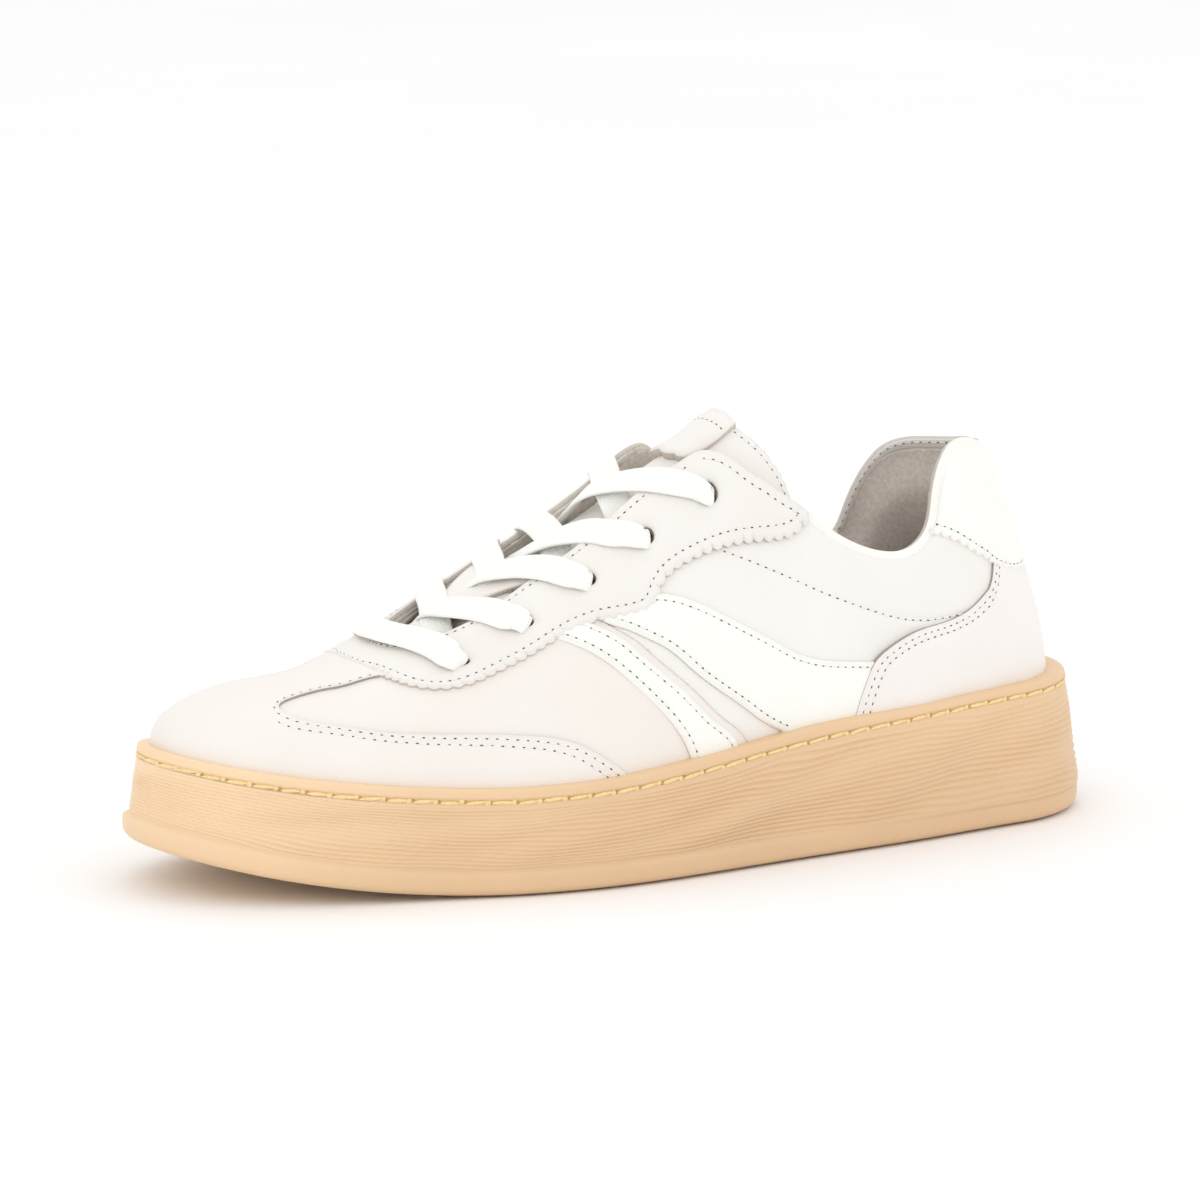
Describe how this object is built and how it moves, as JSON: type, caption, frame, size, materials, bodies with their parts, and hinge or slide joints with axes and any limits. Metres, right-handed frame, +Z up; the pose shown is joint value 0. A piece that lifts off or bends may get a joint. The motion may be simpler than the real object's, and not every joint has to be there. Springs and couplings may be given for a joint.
{
  "type": "court shoe",
  "caption": "Low left court shoe with laced leather upper, gum cupsole, toe and heel overlays and side stripes, toe that bends and tongue tip that folds.",
  "frame": {"origin": "on the ground, under the middle of the shoe's bounding box", "axes": "+X towards the lateral (outer) side, -Y towards the toe, +Z up"},
  "size_m": [0.1037, 0.2749, 0.1092],
  "materials": {
    "gum_rubber": "matte",
    "sole_thread": "matte",
    "filler_foam": "matte",
    "board": "matte",
    "footbed_suede": "matte",
    "toe_leather": "satin",
    "facing_leather": "satin",
    "counter_leather": "satin",
    "panel_leather": "satin",
    "stripe_leather": "satin",
    "edge_leather": "satin",
    "lining_suede": "matte",
    "stiffener_sheet": "matte",
    "padding_foam": "matte",
    "reinforcing_tape": "matte",
    "lace_cotton": "matte"
  },
  "bodies": {
    "rearfoot": {"outsole_rearfoot": "gum_rubber", "sole_stitching": "sole_thread", "heel_filler": "filler_foam", "insole_board": "board", "footbed": "footbed_suede", "vamp": "toe_leather", "toe_overlay": "toe_leather", "eyestay": "facing_leather", "heel_counter_overlay": "counter_leather", "heel_tab": "panel_leather", "collar_binding": "edge_leather", "quarter_lateral": "panel_leather", "quarter_medial": "panel_leather", "narrow_stripe_lateral": "stripe_leather", "narrow_stripe_medial": "stripe_leather", "wide_stripe_lateral": "stripe_leather", "wide_stripe_medial": "stripe_leather", "vamp_lining": "lining_suede", "quarter_lining_lateral": "lining_suede", "quarter_lining_medial": "lining_suede", "heel_stiffener": "stiffener_sheet", "collar_foam": "padding_foam", "eyelet_backing_lateral": "reinforcing_tape", "eyelet_backing_medial": "reinforcing_tape", "tongue": "panel_leather", "tongue_foam": "padding_foam", "tongue_lining": "lining_suede", "lace": "lace_cotton"},
    "forefoot": {"outsole_forefoot": "gum_rubber", "toe_puff": "stiffener_sheet"},
    "tongue_tip": {"tongue_label": "panel_leather"}
  },
  "joints": [
    {"name": "toe_flex", "type": "hinge", "parent": "rearfoot", "child": "forefoot", "pos_m": [0, -0.0575, 0.027], "axis": [-1, 0, 0], "range_deg": [0, 30], "stiffness_Nm_per_rad": 1, "deforming": ["vamp", "toe_overlay", "vamp_lining", "insole_board", "footbed", "sole_stitching", "eyestay", "lace", "tongue", "tongue_foam", "tongue_lining", "eyelet_backing_lateral", "eyelet_backing_medial"]},
    {"name": "tongue_tip_fold", "type": "hinge", "parent": "rearfoot", "child": "tongue_tip", "pos_m": [0, 0.0105, 0.098], "axis": [1, 0, 0], "range_deg": [-10, 35], "stiffness_Nm_per_rad": 0.02, "deforming": ["tongue", "tongue_foam", "tongue_lining"]}
  ]
}
